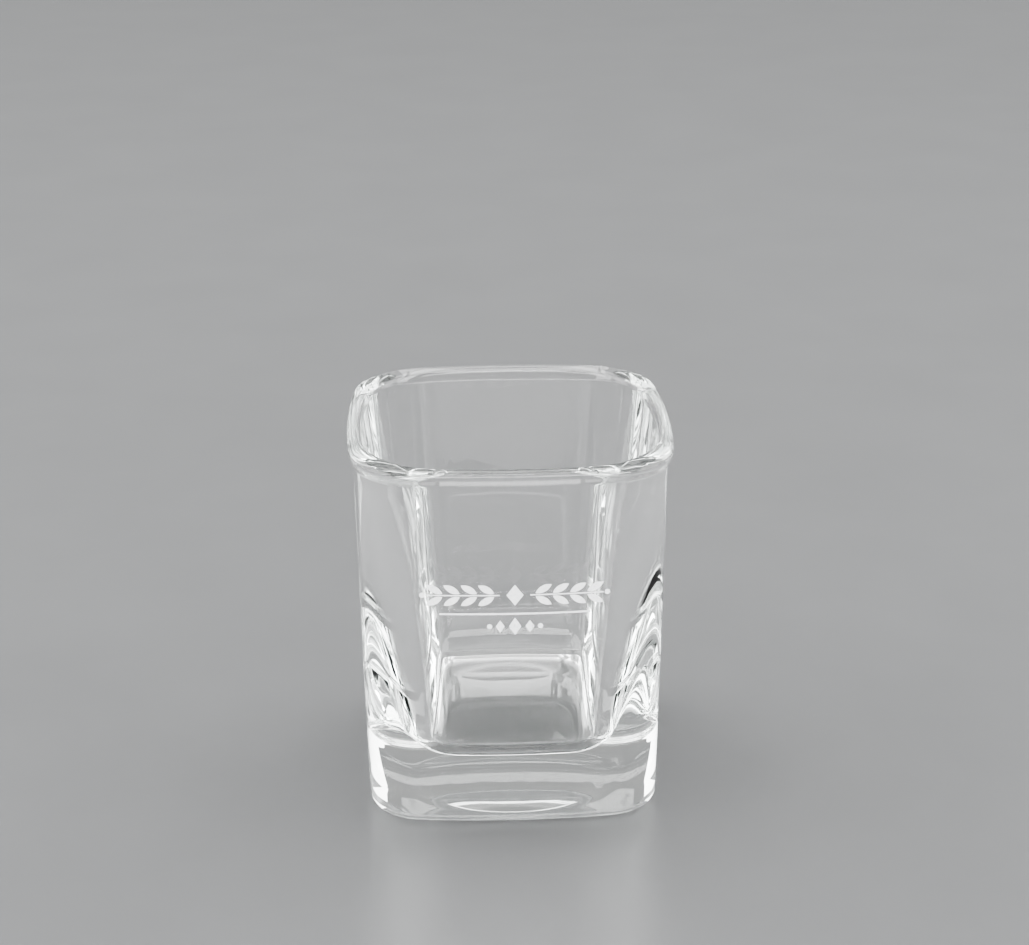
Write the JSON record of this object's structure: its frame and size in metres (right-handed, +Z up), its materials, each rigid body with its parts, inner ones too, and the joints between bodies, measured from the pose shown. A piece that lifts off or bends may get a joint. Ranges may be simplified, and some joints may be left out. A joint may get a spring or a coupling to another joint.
{
  "type": "shot glass",
  "caption": "Square pressed-glass shot glass with bowed sides, round corners, a beaded rim, a heavy base and a fired-on ornament on one face.",
  "frame": {"origin": "centre of the resting face, at table height", "axes": "+Z up out of the mouth, the printed face towards -Y, +X to the right as the print is read"},
  "size_m": [0.0506, 0.0506, 0.06],
  "materials": {
    "clear_glass": "fire-polished",
    "print_ink": "satin fired enamel"
  },
  "bodies": {
    "root": {"glass_body": "clear_glass", "print_centre_lozenge": "print_ink", "print_left_spray": "print_ink", "print_right_spray": "print_ink", "print_rule": "print_ink", "print_lower_row": "print_ink"}
  },
  "joints": []
}
